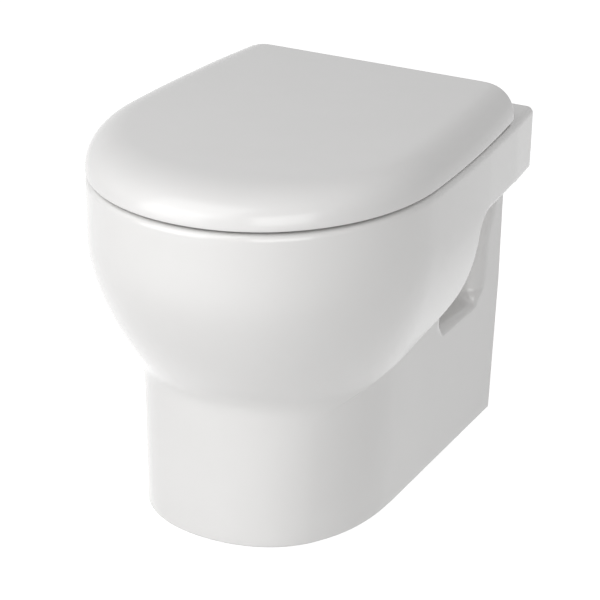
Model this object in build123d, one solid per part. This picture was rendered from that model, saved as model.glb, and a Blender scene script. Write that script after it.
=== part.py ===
from build123d import *
import math
import os

# Wall hung toilet, sizes in millimetres
# X runs across, -Y out of the wall, +Z up
# The origin is on the wall face, midway between the two fixing studs

# Driving sizes of the pan
rim_half_width = 180
wall_half_width = 163
projection = 494
nose_length = 207
rim_height = 85
base_depth = 284
deck_depth = 70
rim_edge_radius = 7
nose_fullness = 0.568

# Pedestal, below the bowl
pedestal_top_half_width = 134
pedestal_base_half_width = 130
pedestal_front = 422
pedestal_nose = 162
pedestal_fullness = 0.63
pedestal_edge_radius = 3

# Outer form of the bowl: upright to straight_depth, then drawn in down to the crease
straight_depth = 65
crease_depth = 208
bowl_curve = 1.6
bowl_sections = 9
crease_tuck = 12

# Rear edge of the bowl, where it swells out beside the pedestal
bowl_rear = 160
bowl_rear_waist = 153
waist_depth = 45
tail_start = 172
tail_start_rise = 39
tail_end = 330
tail_end_drop = 11
tail_slope = 0.3
deck_corner_radius = 12

# Side recess between the wall flange and the bowl
flange_depth = 52
recess_front = 151
recess_drop = 15
recess_corner_radius = 24
core_half_width = 62
flange_thickness = 28
flange_pocket_inner = 70
flange_pocket_outer = 116
flange_pocket_rise = 20
pocket_corner_radius = 10

# Rim and flush channel
rim_opening_half_width = 135
rim_opening_front = 449
rim_opening_back = 121
opening_nose = 165
lip_thickness = 9
lip_height = 42
channel_width = 19
channel_top = 11
lip_edge_radius = 4

# Basin, listed from the foot of the rim down to the sump
# Each row holds height, half width, front, back, nose
basin_levels = [
    (48, 159, 473, 114, 189),
    (12, 148, 458, 147, 172),
    (-40, 116, 420, 166, 140),
    (-90, 82, 374, 178, 101),
    (-135, 60, 340, 192, 73),
    (-180, 46, 319, 208, 55),
    (-212, 32, 300, 228, 36),
    (-226, 18, 284, 242, 21),
]
basin_wall = 9
body_wall = 10
cavity_rear = 174
cavity_step = 4
cavity_sections = 5

# Trapway and waste spigot
outlet_drop = 100
spigot_radius = 51
spigot_bore_radius = 42
spigot_recess = 4
spigot_bore_length = 118
window_radius = 58.5
trap_bore_radius = 34
trap_wall = 9
trap_entry_front = 272
trap_entry_depth = 192
trap_crown = 165
trap_crown_depth = 96
trap_bend_radius = 70
spigot_undercut = 1

# Flush inlet and the water chamber in the deck
inlet_rise = 35
inlet_radius = 27.5
inlet_depth = 45
chamber_half_width = 50
chamber_front = 116
chamber_floor = 25
chamber_corner_radius = 8

# Wall fixings
stud_spacing = 180
stud_radius = 6
stud_thread_radius = 5.43
stud_length = 112
stud_reach_into_wall = 60
stud_shoulder = 0.5
stud_end_chamfer = 1
flange_hole_radius = 9
sleeve_wall = 2.6
sleeve_collar_radius = 13
sleeve_collar_thickness = 2
stud_washer_radius = 12
stud_washer_bore_radius = 6.5
stud_washer_thickness = 2.5
stud_nut_across_flats = 19
stud_nut_thickness = 10
nut_cover_radius = 13
nut_cover_length = 24
nut_cover_wall = 1.4
cover_edge_radius = 3
thread_clearance = 0.05
sleeve_clearance = 0.2

# Hinge axis, above the rim and in front of the wall
hinge_rise = 25
hinge_reach = 57
hinge_spacing = 155
barrel_radius = 9
pillar_width = 22
pillar_front = 11
pillar_shoulder = 15
pillar_neck = 3
pillar_neck_drop = 8
pillar_base_width = 26
pillar_base_length = 38
pillar_base_thickness = 5
pillar_base_radius = 8
gasket_thickness = 1
lug_gap = 1
lug_length = 22
pin_radius = 3
pin_overhang = 1.5
pin_chamfer = 0.5
damper_radius = 6
damper_flange_thickness = 1.5
damper_flange_radius = 7.5
running_clearance = 0.05

# Fixing of the hinge through the deck
hinge_bolt_reach = 75
hinge_bolt_radius = 4
bolt_chamfer = 0.8
hinge_bolt_depth = 24
hinge_bolt_entry = 14
hinge_hole_radius = 7
cone_washer_radius = 12
cone_washer_thickness = 6
cone_washer_neck = 5
cone_washer_neck_radius = 6.8
wing_nut_hub_radius = 7
wing_nut_height = 11
wing_span = 26
wing_thickness = 3
wing_drop = 3
wing_corner_radius = 3

# Seat lid, with its back edge over the hinge axis
lid_gap = 3
lid_height = 40
lid_side_roll = 34
lid_front_roll = 64
lid_roll_curve = 2.25
lid_sections = 9
lid_wall = 5
lid_back_taper = 15
notch_clearance = 1
lid_lug_web = 7

# Seat ring
seat_gap = 4
seat_thickness = 20
seat_side_gap = 4
seat_rear = 95
seat_opening_half_width = 108
seat_opening_front = 424
seat_opening_back = 158
seat_opening_nose = 150
seat_side_draft = 4
seat_front_draft = 9
seat_edge_radius = 7
seat_bottom_radius = 1.5
seat_lug_rise = 6
seat_lug_top_drop = 3.5
seat_lug_heel = 4.5
seat_lug_heel_drop = 7.65

# Buffers under the seat and under the lid
buffer_radius = 9
buffer_edge_radius = 1.5
seat_buffer_side_inset = 38
seat_buffer_nose_inset = 102
seat_buffer_back = 170
seat_buffer_front_inset = 51
lid_buffer_side_inset = 52
lid_buffer_nose_inset = 58
lid_buffer_back = 180
lid_buffer_front_inset = 164
buffer_stem_radius = 3
buffer_stem_length = 5

# Heights worked out from the sizes above
deck_bottom = rim_height - deck_depth
base_height = -base_depth
hinge_height = rim_height + hinge_rise
hinge_side = hinge_spacing / 2
stud_side = stud_spacing / 2
crease_inset = rim_half_width - pedestal_top_half_width
crease_height = rim_height - crease_depth
recess_bottom = crease_height - recess_drop
flange_pocket_bottom = recess_bottom + flange_pocket_rise
lid_rear = hinge_reach
seat_bottom = rim_height + seat_gap
seat_top = seat_bottom + seat_thickness
lid_bottom = rim_height + lid_gap
lid_top = rim_height + lid_height
lid_ceiling = lid_top - lid_wall
pillar_from = hinge_side - pillar_width / 2
pillar_to = hinge_side + pillar_width / 2
base_plate_to = hinge_side + pillar_base_width / 2
seat_lug_to = pillar_from - lug_gap
seat_lug_from = seat_lug_to - lug_length
lid_lug_from = pillar_to + lug_gap
lid_lug_to = lid_lug_from + lug_length
collar_front = -flange_thickness - sleeve_collar_thickness
washer_front = collar_front - stud_washer_thickness
seat_buffer_places = [
    (side * half_spacing, -reach)
    for side in (1, -1)
    for half_spacing, reach in (
        (rim_half_width - seat_buffer_side_inset, seat_buffer_back),
        (rim_half_width - seat_buffer_nose_inset, projection - seat_buffer_front_inset),
    )
]
lid_buffer_places = [
    (side * half_spacing, -reach)
    for side in (1, -1)
    for half_spacing, reach in (
        (rim_half_width - lid_buffer_side_inset, lid_buffer_back),
        (rim_half_width - lid_buffer_nose_inset, projection - lid_buffer_front_inset),
    )
]

# Overlap of joined forms, and a size past every part
crossing = 5
beyond = 400


def dee(height, half_width, back_half_width, front, nose, fullness, back=0):
    """Face with a straight back, gently widening sides and a rounded nose, level at a height."""
    shoulder = front - nose
    middle = (shoulder + back) / 2
    wires = []
    for side in (1, -1):
        flank = Bezier(
            (side * back_half_width, -back),
            (side * half_width, -middle),
            (side * half_width, -shoulder),
        )
        curve = Bezier(
            (side * half_width, -shoulder),
            (side * half_width, -shoulder - fullness * nose),
            (side * fullness * half_width, -front),
            (0, -front),
        )
        wires += [flank, curve]
    wires.append(Line((-back_half_width, -back), (back_half_width, -back)))
    return Pos(0, 0, height) * Face(Wire(wires))


def oval(height, half_width, front, back, nose, fullness=nose_fullness):
    """Face of an egg shape, widest where its nose begins, level at a height."""
    shoulder = front - nose
    heel = shoulder - back
    edges = []
    for side in (1, -1):
        rear = Bezier(
            (0, -back),
            (side * fullness * half_width, -back),
            (side * half_width, -shoulder + fullness * heel),
            (side * half_width, -shoulder),
        )
        fore = Bezier(
            (side * half_width, -shoulder),
            (side * half_width, -shoulder - fullness * nose),
            (side * fullness * half_width, -front),
            (0, -front),
        )
        edges += [rear, fore]
    return Pos(0, 0, height) * Face(Wire(edges))


def box(x_from, x_to, y_from, y_to, z_from, z_to):
    """Box between two corners."""
    corner = Pos((x_from + x_to) / 2, (y_from + y_to) / 2, (z_from + z_to) / 2)
    return corner * Box(x_to - x_from, y_to - y_from, z_to - z_from)


def along_y(radius, y_from, y_to, x=0, z=0):
    """Cylinder along Y."""
    middle = Pos(x, (y_from + y_to) / 2, z)
    return middle * Rot(90, 0, 0) * Cylinder(radius, abs(y_to - y_from))


def along_x(radius, x_from, x_to, y=-hinge_reach, z=hinge_height):
    """Cylinder along X, on the hinge axis unless placed elsewhere."""
    middle = Pos((x_from + x_to) / 2, y, z)
    return middle * Rot(0, 90, 0) * Cylinder(radius, abs(x_to - x_from))


def along_z(radius, z_from, z_to, x=0, y=0):
    """Upright cylinder."""
    return Pos(x, y, (z_from + z_to) / 2) * Cylinder(radius, abs(z_to - z_from))


def across(outline, x_from, x_to):
    """Solid of a side-view outline, given in Y and Z, between two X positions."""
    plane = Plane(origin=(x_from, 0, 0), x_dir=(0, 1, 0), z_dir=(1, 0, 0))
    return extrude(plane * outline, x_to - x_from, dir=(1, 0, 0))


def upward(outline, height):
    """Solid of a level outline, raised by a height."""
    return extrude(outline, height, dir=(0, 0, 1))


def bowl_inset(depth):
    """How far the bowl's side is drawn in at a depth below the rim."""
    share = max(0, depth - straight_depth) / (crease_depth - straight_depth)
    return crease_inset * share**bowl_curve


def bowl_section(depth, wall=0, back=0):
    """Level section of the bowl's outside, or of a surface inside it by a wall."""
    share = bowl_inset(depth) / crease_inset
    half_width = rim_half_width - bowl_inset(depth) - wall
    at_wall = wall_half_width - share * (wall_half_width - pedestal_top_half_width) - wall
    front = projection - share * (projection - pedestal_front) - wall
    nose = nose_length - share * (nose_length - pedestal_nose) - wall
    from_shoulder = (front - nose - back) / (front - nose)
    return dee(
        rim_height - depth,
        half_width,
        half_width - (half_width - at_wall) * from_shoulder**2,
        front,
        nose,
        nose_fullness + share * (pedestal_fullness - nose_fullness),
        back,
    )


def bowl_form(top_depth, wall=0):
    """Loft of the bowl from a depth below the rim to the crease."""
    curved_depth = crease_depth + crease_tuck - straight_depth
    curved = [straight_depth + curved_depth * k / (bowl_sections - 1) for k in range(bowl_sections)]
    straight = bowl_section(top_depth, wall)
    upper = loft([straight, bowl_section(straight_depth, wall)], ruled=True)
    lower = loft([bowl_section(depth, wall) for depth in curved])
    return upper + lower


def pedestal_form(top, bottom, wall=0):
    """Loft of the pedestal between two heights."""
    sections = []
    for height in (top, bottom):
        share = (crease_height - height) / (crease_height - base_height)
        narrowing = share * (pedestal_top_half_width - pedestal_base_half_width)
        half_width = pedestal_top_half_width - narrowing - wall
        front = pedestal_front - wall
        nose = pedestal_nose - wall
        sections.append(dee(height, half_width, half_width, front, nose, pedestal_fullness))
    return loft(sections, ruled=True)


def front_edges(form, level):
    """Edges round a form's top (level -1) or bottom (level 0), without the one along the wall."""
    edges = form.edges().group_by(Axis.Z)[level]
    return edges.filter_by(lambda edge: edge.center().Y < -crossing)


def behind_bowl():
    """What is cut from the bowl below the deck, so that its rear edge runs down and forward."""
    rear = -bowl_rear
    top = deck_bottom
    turn = (rear, top - deck_corner_radius)
    waist = (-bowl_rear_waist, -waist_depth)
    tail = (-tail_start, crease_height + tail_start_rise)
    end = (-tail_end, crease_height - tail_end_drop)
    bottom = end[1] - beyond
    path = [
        Line((crossing, top), (rear + deck_corner_radius, top)),
        RadiusArc((rear + deck_corner_radius, top), turn, -deck_corner_radius),
        Spline(turn, waist, tail, end, tangents=((0, -1), (-1, -tail_slope))),
        Line(end, (end[0], bottom)),
        Line((end[0], bottom), (crossing, bottom)),
        Line((crossing, bottom), (crossing, top)),
    ]
    return across(Face(Wire(path)), -beyond, beyond)


def side_recess():
    """The pocket behind the bowl on the right side, open to the side, with a deeper part at the stud."""
    depth = recess_front - flange_depth
    height = deck_bottom - recess_bottom
    outline = Rectangle(depth, height)
    outline = Pos(-(flange_depth + recess_front) / 2, (deck_bottom + recess_bottom) / 2) * outline
    low_corners = outline.vertices().sort_by(Axis.Y)[:2]
    pocket = across(fillet(low_corners, recess_corner_radius), core_half_width, beyond)
    inner_back = flange_depth + crossing
    inner = Rectangle(inner_back - flange_thickness, deck_bottom - flange_pocket_bottom)
    inner = Pos(-(flange_thickness + inner_back) / 2, (deck_bottom + flange_pocket_bottom) / 2) * inner
    inner_corners = inner.vertices().sort_by(Axis.Y)[:2]
    hollow = across(fillet(inner_corners, pocket_corner_radius), flange_pocket_inner, flange_pocket_outer)
    return pocket + hollow


def pan_outside():
    """The pan without its hollows."""
    bowl = bowl_form(0)
    bowl = fillet(front_edges(bowl, -1), rim_edge_radius)
    bowl -= behind_bowl()
    pedestal = pedestal_form(deck_bottom + crossing, base_height)
    pedestal = fillet(front_edges(pedestal, 0), pedestal_edge_radius)
    shell = bowl + pedestal
    recess = side_recess()
    shell -= recess
    shell -= mirror(recess, Plane.YZ)
    return shell


def basin_form(wall=0):
    """Loft of the basin's inside, or of its outside by a wall."""
    sections = []
    for height, half_width, front, back, nose in basin_levels:
        sections.append(oval(height, half_width + wall, front + wall, back - wall, nose + wall))
    if wall:
        sections.append(Pos(0, 0, -wall) * sections.pop())
    return loft(sections, ruled=wall > 0)


def rim_ring(inset_from, inset_to, bottom, top):
    """Ring that follows the rim opening, between two distances outside it."""
    rings = []
    for inset in (inset_to, inset_from):
        face = oval(
            bottom,
            rim_opening_half_width + inset,
            rim_opening_front + inset,
            rim_opening_back - inset,
            opening_nose + inset,
        )
        rings.append(upward(face, top - bottom))
    return rings[0] - rings[1]


def trap_tube(radius):
    """The trapway from the sump, up over its crown and back towards the wall."""
    entry = (0, -trap_entry_front, -trap_entry_depth)
    crown = (0, -trap_crown, -trap_crown_depth)
    exit_point = (0, -spigot_bore_length + crossing, -trap_crown_depth)
    path = FilletPolyline(entry, crown, exit_point, radius=trap_bend_radius)
    start = Plane(origin=path @ 0, z_dir=path % 0)
    return sweep(start * Circle(radius), path)


def cavity():
    """The hollow between the basin and the outer walls, open towards the wall at the bottom."""
    floor = base_height + body_wall
    pedestal_top = recess_bottom - body_wall
    low = pedestal_form(pedestal_top, floor, body_wall)
    step = (crease_depth - straight_depth) / (cavity_sections - 1)
    depths = [straight_depth + step * k for k in range(cavity_sections)]
    sections = [bowl_section(depth, body_wall, cavity_rear) for depth in depths]
    lowest = bowl_section(crease_depth, body_wall + cavity_step, cavity_rear)
    lowest = Pos(0, 0, pedestal_top - crossing - crease_height) * lowest
    high = loft(sections + [lowest], ruled=True)
    hollow = low + high
    hollow -= basin_form(basin_wall)
    hollow -= trap_tube(trap_bore_radius + trap_wall)
    return hollow


def ceramic_pan():
    """The pan with its basin, rim, waterways, trapway and fixing holes."""
    pan = pan_outside()
    pan -= cavity()
    pan -= basin_form()
    lip_bottom = rim_height - lip_height
    channel_ceiling = rim_height - channel_top
    rim_hole = oval(
        lip_bottom,
        rim_opening_half_width,
        rim_opening_front,
        rim_opening_back,
        opening_nose,
    )
    pan -= upward(rim_hole, beyond)
    top_edges = pan.edges().group_by(Axis.Z)[-1]
    reach = rim_opening_half_width + crossing
    opening_edges = top_edges.filter_by(lambda edge: max(abs(v.X) for v in edge.vertices()) < reach)
    pan = fillet(opening_edges, lip_edge_radius)
    pan -= rim_ring(lip_thickness, lip_thickness + channel_width, lip_bottom - crossing, channel_ceiling)
    chamber = box(
        -chamber_half_width, chamber_half_width, -chamber_front, -inlet_depth, chamber_floor, channel_ceiling
    )
    pan -= fillet(chamber.edges().filter_by(Axis.Z), chamber_corner_radius)
    pan -= along_y(inlet_radius, -inlet_depth - crossing, crossing, z=inlet_rise)
    pan -= along_y(window_radius, -flange_thickness, crossing, z=-outlet_drop)
    root_radius = spigot_radius - spigot_undercut
    pan += along_y(root_radius, -flange_thickness - crossing, -spigot_recess, z=-outlet_drop)
    pan += along_y(spigot_radius, -flange_thickness + spigot_undercut, -spigot_recess, z=-outlet_drop)
    pan -= along_y(spigot_bore_radius, -spigot_bore_length, crossing, z=-outlet_drop)
    pan -= trap_tube(trap_bore_radius)
    for side in (1, -1):
        pan -= along_y(flange_hole_radius, -flange_depth, crossing, x=side * stud_side)
        pan -= along_z(
            hinge_hole_radius, deck_bottom - crossing, rim_height + crossing, side * hinge_side, -hinge_bolt_reach
        )
    return pan


def lid_form(half_width, front, back, bottom, top):
    """Domed cover: its sides rise upright and roll over to a level top."""
    sections = []
    for k in range(lid_sections):
        angle = math.pi / 2 * k / (lid_sections - 1)
        rise = math.sin(angle) ** (2 / lid_roll_curve)
        roll = 1 - math.cos(angle) ** (2 / lid_roll_curve)
        side_in = lid_side_roll * roll
        front_in = lid_front_roll * roll
        sections.append(
            dee(
                bottom + (top - bottom) * rise,
                half_width - side_in,
                half_width - side_in - lid_back_taper,
                front - front_in,
                nose_length - front_in,
                nose_fullness,
                back,
            )
        )
    return loft(sections)


def hinge_solid(x_from, x_to, side):
    """Barrel on the hinge axis, on the right for side 1 and on the left for side -1."""
    return along_x(barrel_radius, side * x_from, side * x_to)


def seat_lid():
    """The lid: a hollow cover with two hinge lugs and notches that clear the hinges."""
    lid = lid_form(rim_half_width, projection, lid_rear, lid_bottom, lid_top)
    inside = lid_form(
        rim_half_width - lid_wall, projection - lid_wall, lid_rear + lid_wall, lid_bottom, lid_ceiling
    )
    lid -= inside
    notch_front = -lid_rear - lid_wall - notch_clearance
    for side in (1, -1):
        near = side * (seat_lug_from - damper_flange_thickness - notch_clearance)
        far = side * (base_plate_to + notch_clearance)
        near, far = sorted((near, far))
        lid -= box(near, far, notch_front, crossing, lid_bottom - crossing, lid_ceiling)
        lid += hinge_solid(lid_lug_from, lid_lug_to, side)
        near, far = sorted((side * lid_lug_from, side * lid_lug_to))
        web_front = -hinge_reach - lid_lug_web
        lid += box(near, far, web_front, -hinge_reach, hinge_height, lid_ceiling + notch_clearance)
        lid -= along_x(damper_radius + running_clearance, near - crossing, far + crossing)
        outer_end = side * lid_lug_to
        lid -= along_x(damper_flange_radius + running_clearance, outer_end, outer_end + side * crossing)
    return lid


def seat_ring():
    """The seat: a D shaped ring with two hinge lugs behind it."""
    bottom_inset = lid_wall + seat_side_gap
    sections = []
    for height, side_in, front_in in (
        (seat_bottom, bottom_inset, bottom_inset),
        (seat_top, bottom_inset + seat_side_draft, bottom_inset + seat_front_draft),
    ):
        half_width = rim_half_width - side_in
        sections.append(
            dee(
                height,
                half_width,
                half_width - lid_back_taper,
                projection - front_in,
                nose_length - front_in,
                nose_fullness,
                seat_rear,
            )
        )
    seat = loft(sections, ruled=True)
    hole = oval(
        seat_bottom - crossing,
        seat_opening_half_width,
        seat_opening_front,
        seat_opening_back,
        seat_opening_nose,
    )
    seat -= upward(hole, seat_thickness + 2 * crossing)
    seat = fillet(seat.edges().group_by(Axis.Z)[-1], seat_edge_radius)
    seat = fillet(seat.edges().group_by(Axis.Z)[0], seat_bottom_radius)
    web = Polyline(
        (-hinge_reach, hinge_height + barrel_radius),
        (-seat_rear - crossing, seat_top - seat_lug_top_drop),
        (-seat_rear - crossing, seat_bottom + seat_lug_rise),
        (-hinge_reach - seat_lug_heel, hinge_height - seat_lug_heel_drop),
        close=True,
    )
    for side in (1, -1):
        near, far = sorted((side * seat_lug_from, side * seat_lug_to))
        seat += hinge_solid(seat_lug_from, seat_lug_to, side)
        seat += across(Face(Wire(web)), near, far)
        seat -= along_x(damper_radius + running_clearance, near - crossing, far + crossing)
    for x, y in seat_buffer_places:
        seat -= along_z(buffer_stem_radius, seat_bottom - crossing, seat_bottom + buffer_stem_length, x, y)
    return seat


def hinge_base(side):
    """Pillar on a base plate, leaning back to the axis, bored for the pin and for its bolt."""
    centre = side * hinge_side
    plate_bottom = rim_height + gasket_thickness
    plate_top = plate_bottom + pillar_base_thickness
    foot = RectangleRounded(pillar_base_width, pillar_base_length, pillar_base_radius)
    base = Pos(centre, -hinge_bolt_reach, plate_bottom) * upward(foot, pillar_base_thickness)
    front = -hinge_bolt_reach - pillar_front
    neck = -hinge_reach - pillar_neck
    barrel_corner = barrel_radius * math.sqrt(2) / 2
    web = Polyline(
        (front, plate_top),
        (front, rim_height + pillar_shoulder),
        (-hinge_reach - barrel_corner, hinge_height + barrel_corner),
        (-hinge_reach, hinge_height),
        (neck, hinge_height - pillar_neck_drop),
        (neck, plate_top),
        close=True,
    )
    near, far = centre - pillar_width / 2, centre + pillar_width / 2
    base += across(Face(Wire(web)), near, far)
    base += along_x(barrel_radius, near, far)
    base -= along_x(pin_radius + running_clearance, near - crossing, far + crossing)
    bolt_bore_radius = hinge_bolt_radius + thread_clearance
    bolt_top = rim_height + hinge_bolt_entry
    base -= along_z(bolt_bore_radius, plate_bottom - crossing, bolt_top, centre, -hinge_bolt_reach)
    return base


def hinge_gaskets():
    """Rubber plates between the hinge bases and the deck."""
    plates = []
    for side in (1, -1):
        foot = RectangleRounded(pillar_base_width, pillar_base_length, pillar_base_radius)
        foot -= Circle(hinge_bolt_radius + thread_clearance)
        place = Pos(side * hinge_side, -hinge_bolt_reach, rim_height)
        plates.append(place * upward(foot, gasket_thickness))
    return Compound(plates)


def hinge_pin(side):
    """Steel pin through the pillar and both lugs."""
    near, far = sorted((side * (seat_lug_from - pin_overhang), side * (lid_lug_to + pin_overhang)))
    pin = along_x(pin_radius, near, far)
    return chamfer(pin.edges(), pin_chamfer)


def lug_insert(lug_from, lug_to, side, flange_inside):
    """Sleeve in a lug round the hinge pin, with a flange against one end of the lug."""
    near, far = side * lug_from, side * lug_to
    start, away = (near, -side) if flange_inside else (far, side)
    insert = along_x(damper_radius, near, far)
    insert += along_x(damper_flange_radius, start, start + away * damper_flange_thickness)
    reach = side * crossing
    insert -= along_x(pin_radius + running_clearance, near - 2 * reach, far + 2 * reach)
    return insert


def hinge_bolts():
    """Bolts from the pillars down through the deck."""
    bolts = []
    for side in (1, -1):
        bolt = along_z(
            hinge_bolt_radius,
            deck_bottom - hinge_bolt_depth,
            rim_height + hinge_bolt_entry,
            side * hinge_side,
            -hinge_bolt_reach,
        )
        bolts.append(chamfer(bolt.edges(), bolt_chamfer))
    return Compound(bolts)


def hinge_cone_washers():
    """Rubber washers under the deck with a neck that centres the bolt in its hole."""
    washers = []
    for side in (1, -1):
        place = (side * hinge_side, -hinge_bolt_reach)
        washer = along_z(cone_washer_radius, deck_bottom - cone_washer_thickness, deck_bottom, *place)
        washer += along_z(cone_washer_neck_radius, deck_bottom, deck_bottom + cone_washer_neck, *place)
        washer -= along_z(
            hinge_bolt_radius + thread_clearance, deck_bottom - beyond, deck_bottom + beyond, *place
        )
        washers.append(washer)
    return Compound(washers)


def hinge_wing_nuts():
    """Wing nuts that pull the hinge bolts tight from below."""
    nuts = []
    top = deck_bottom - cone_washer_thickness
    for side in (1, -1):
        place = (side * hinge_side, -hinge_bolt_reach)
        nut = along_z(wing_nut_hub_radius, top - wing_nut_height, top, *place)
        wings = box(
            place[0] - wing_thickness / 2,
            place[0] + wing_thickness / 2,
            place[1] - wing_span / 2,
            place[1] + wing_span / 2,
            top - wing_nut_height - wing_drop,
            top - wing_drop,
        )
        nut += fillet(wings.edges().filter_by(Axis.X), wing_corner_radius)
        nut -= along_z(hinge_bolt_radius + thread_clearance, top - beyond, top + beyond, *place)
        nuts.append(nut)
    return Compound(nuts)


def seat_buffers():
    """Rubber feet between the seat and the rim, each with a stem in the seat."""
    feet = []
    for x, y in seat_buffer_places:
        foot = along_z(buffer_radius, rim_height, seat_bottom, x, y)
        foot = fillet(foot.edges().sort_by(Axis.Z)[0], buffer_edge_radius)
        foot += along_z(buffer_stem_radius, seat_bottom, seat_bottom + buffer_stem_length, x, y)
        feet.append(foot)
    return Compound(feet)


def lid_buffers():
    """Rubber pads between the lid and the seat."""
    pads = []
    for x, y in lid_buffer_places:
        pad = along_z(buffer_radius, seat_top, lid_ceiling, x, y)
        pads.append(fillet(pad.edges().sort_by(Axis.Z)[0], buffer_edge_radius))
    return Compound(pads)


def wall_studs():
    """Threaded rods that carry the pan, drawn at the thread's pitch radius in front of the wall."""
    studs = []
    for side in (1, -1):
        x = side * stud_side
        stud = along_y(stud_radius, stud_shoulder, stud_reach_into_wall, x)
        stud += along_y(stud_thread_radius, stud_reach_into_wall - stud_length, stud_reach_into_wall, x)
        ends = stud.edges().sort_by(Axis.Y)
        studs.append(chamfer([ends[0], ends[-1]], stud_end_chamfer))
    return Compound(studs)


def stud_sleeves():
    """Plastic sleeves between the studs and the ceramic flange, with a collar in front."""
    sleeves = []
    for side in (1, -1):
        x = side * stud_side
        outer = flange_hole_radius - sleeve_clearance
        sleeve = along_y(outer, -flange_thickness, 0, x)
        sleeve += along_y(sleeve_collar_radius, collar_front, -flange_thickness, x)
        sleeve -= along_y(outer - sleeve_wall, -flange_depth, crossing, x)
        sleeves.append(sleeve)
    return Compound(sleeves)


def stud_washers():
    """Steel washers in front of the sleeves."""
    washers = []
    for side in (1, -1):
        washer = along_y(stud_washer_radius, washer_front, collar_front, side * stud_side)
        washer -= along_y(stud_washer_bore_radius, -flange_depth, 0, side * stud_side)
        washers.append(washer)
    return Compound(washers)


def stud_nuts():
    """Hexagon nuts on the studs."""
    nuts = []
    for side in (1, -1):
        outline = RegularPolygon(stud_nut_across_flats / 2, 6, major_radius=False)
        outline -= Circle(stud_thread_radius + thread_clearance)
        place = Plane(origin=(side * stud_side, washer_front, 0), x_dir=(1, 0, 0), z_dir=(0, -1, 0))
        nuts.append(extrude(place * outline, stud_nut_thickness, dir=(0, -1, 0)))
    return Compound(nuts)


def stud_covers():
    """Plastic cups pushed over the nuts."""
    covers = []
    for side in (1, -1):
        x = side * stud_side
        front = washer_front - nut_cover_length
        cup = along_y(nut_cover_radius, front, washer_front, x)
        cup = fillet(cup.edges().sort_by(Axis.Y)[0], cover_edge_radius)
        cup -= along_y(nut_cover_radius - nut_cover_wall, front + nut_cover_wall, washer_front, x)
        covers.append(cup)
    return Compound(covers)


parts = {
    "ceramic_pan": ceramic_pan(),
    "seat_ring": seat_ring(),
    "seat_lid": seat_lid(),
    "hinge_base_left": hinge_base(-1),
    "hinge_base_right": hinge_base(1),
    "hinge_pin_left": hinge_pin(-1),
    "hinge_pin_right": hinge_pin(1),
    "seat_damper": lug_insert(seat_lug_from, seat_lug_to, -1, True),
    "seat_bush": lug_insert(seat_lug_from, seat_lug_to, 1, True),
    "lid_damper": lug_insert(lid_lug_from, lid_lug_to, 1, False),
    "lid_bush": lug_insert(lid_lug_from, lid_lug_to, -1, False),
    "hinge_gaskets": hinge_gaskets(),
    "hinge_bolts": hinge_bolts(),
    "hinge_cone_washers": hinge_cone_washers(),
    "hinge_wing_nuts": hinge_wing_nuts(),
    "seat_buffers": seat_buffers(),
    "lid_buffers": lid_buffers(),
    "wall_studs": wall_studs(),
    "stud_sleeves": stud_sleeves(),
    "stud_washers": stud_washers(),
    "stud_nuts": stud_nuts(),
    "stud_covers": stud_covers(),
}

os.makedirs("parts", exist_ok=True)
for name, solid in parts.items():
    export_step(solid, f"parts/{name}.step")
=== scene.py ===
import math
import bpy
import numpy as np
from mathutils import Matrix, Vector


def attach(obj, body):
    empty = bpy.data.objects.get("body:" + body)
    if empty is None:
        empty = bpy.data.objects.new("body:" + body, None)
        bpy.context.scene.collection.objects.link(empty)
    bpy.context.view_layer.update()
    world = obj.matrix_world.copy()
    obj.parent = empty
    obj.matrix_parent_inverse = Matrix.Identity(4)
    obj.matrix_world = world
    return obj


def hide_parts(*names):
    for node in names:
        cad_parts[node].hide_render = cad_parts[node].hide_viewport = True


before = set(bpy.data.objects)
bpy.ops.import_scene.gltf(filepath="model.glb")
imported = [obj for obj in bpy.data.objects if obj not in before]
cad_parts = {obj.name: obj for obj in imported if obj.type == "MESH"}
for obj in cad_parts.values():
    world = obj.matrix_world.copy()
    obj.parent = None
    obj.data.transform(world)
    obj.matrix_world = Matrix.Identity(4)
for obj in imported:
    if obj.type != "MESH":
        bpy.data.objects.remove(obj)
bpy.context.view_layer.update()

mm = 0.001
sharpEdge = math.radians(40)


# shared helpers: grids, outlines and meshes, all in millimetres until the mesh is made

def makeObject(name, points, faces):
    # one mesh object at the origin, from points in mm and faces as lists of indices;
    # the sum of the signed volumes under its faces tells whether they point outwards
    points = np.asarray(points, float) * mm
    tris = np.array([(f[0], f[k], f[k + 1]) for f in faces for k in range(1, len(f) - 1)])
    a, b, c = points[tris[:, 0]], points[tris[:, 1]], points[tris[:, 2]]
    if np.einsum("ij,ij->", a, np.cross(b, c)) < 0:
        faces = [f[::-1] for f in faces]
    mesh = bpy.data.meshes.new(name)
    mesh.from_pydata(points.tolist(), [], faces)
    mesh.validate()
    mesh.update()
    mesh.shade_smooth()
    mesh.set_sharp_from_angle(angle=sharpEdge)
    obj = bpy.data.objects.new(name, mesh)
    bpy.context.scene.collection.objects.link(obj)
    return obj


def gridFaces(rows, columns, loop=False):
    # quads between neighbouring rows; the last column joins the first, and with loop
    # the last row joins the first row too
    i, j = np.meshgrid(np.arange(rows if loop else rows - 1), np.arange(columns), indexing="ij")
    k, n = (j + 1) % columns, (i + 1) % rows
    quads = np.stack([i * columns + j, i * columns + k, n * columns + k, n * columns + j], -1)
    return quads.reshape(-1, 4).tolist()


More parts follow.
